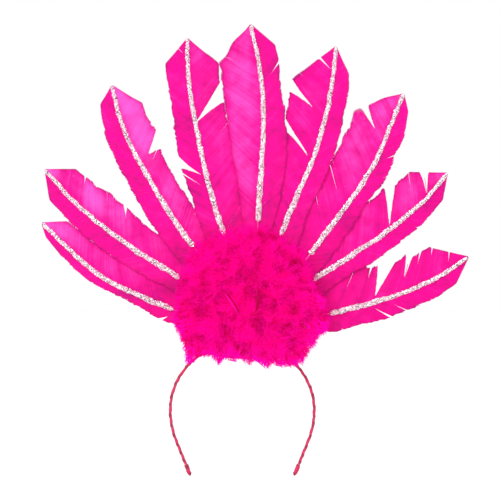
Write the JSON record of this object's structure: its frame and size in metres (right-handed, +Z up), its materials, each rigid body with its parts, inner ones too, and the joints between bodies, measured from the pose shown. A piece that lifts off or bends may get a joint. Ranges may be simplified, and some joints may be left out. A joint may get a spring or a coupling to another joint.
{
  "type": "carnival feather headdress",
  "caption": "Slim ribbon-wrapped headband that carries a tall fan of trimmed wing feathers with glitter strips, rising from a thick tuft of marabou fluff.",
  "frame": {"origin": "on the inner face of the headband at the top of the head, in the middle of the band's width", "axes": "+Z up, along the middle feather; +X to the right as the front is seen; the wearer looks towards -Y"},
  "size_m": [0.3951, 0.067, 0.415],
  "materials": {
    "ribbon": "raspberry satin ribbon, wound in a spiral",
    "felt": "matt dyed felt",
    "vane": "hot pink dyed wing feather with fine diagonal barbs and a soft sheen",
    "quill": "dyed horn shaft, satin",
    "glitter": "clear glue bead packed with silver glitter",
    "marabou": "hot pink marabou down, soft and matt"
  },
  "bodies": {
    "root": {"headband": "ribbon", "band_tip_left": "ribbon", "band_tip_right": "ribbon", "felt_base": "felt", "feather_1_vane": "vane", "feather_1_quill": "quill", "feather_1_glitter": "glitter", "feather_2_vane": "vane", "feather_2_quill": "quill", "feather_2_glitter": "glitter", "feather_3_vane": "vane", "feather_3_quill": "quill", "feather_3_glitter": "glitter", "feather_4_vane": "vane", "feather_4_quill": "quill", "feather_4_glitter": "glitter", "feather_5_vane": "vane", "feather_5_quill": "quill", "feather_5_glitter": "glitter", "feather_6_vane": "vane", "feather_6_quill": "quill", "feather_6_glitter": "glitter", "feather_7_vane": "vane", "feather_7_quill": "quill", "feather_7_glitter": "glitter", "feather_8_vane": "vane", "feather_8_quill": "quill", "feather_8_glitter": "glitter", "feather_9_vane": "vane", "feather_9_quill": "quill", "feather_9_glitter": "glitter", "marabou_top": "marabou", "marabou_middle": "marabou", "marabou_bottom": "marabou", "marabou_back": "marabou"}
  },
  "joints": []
}
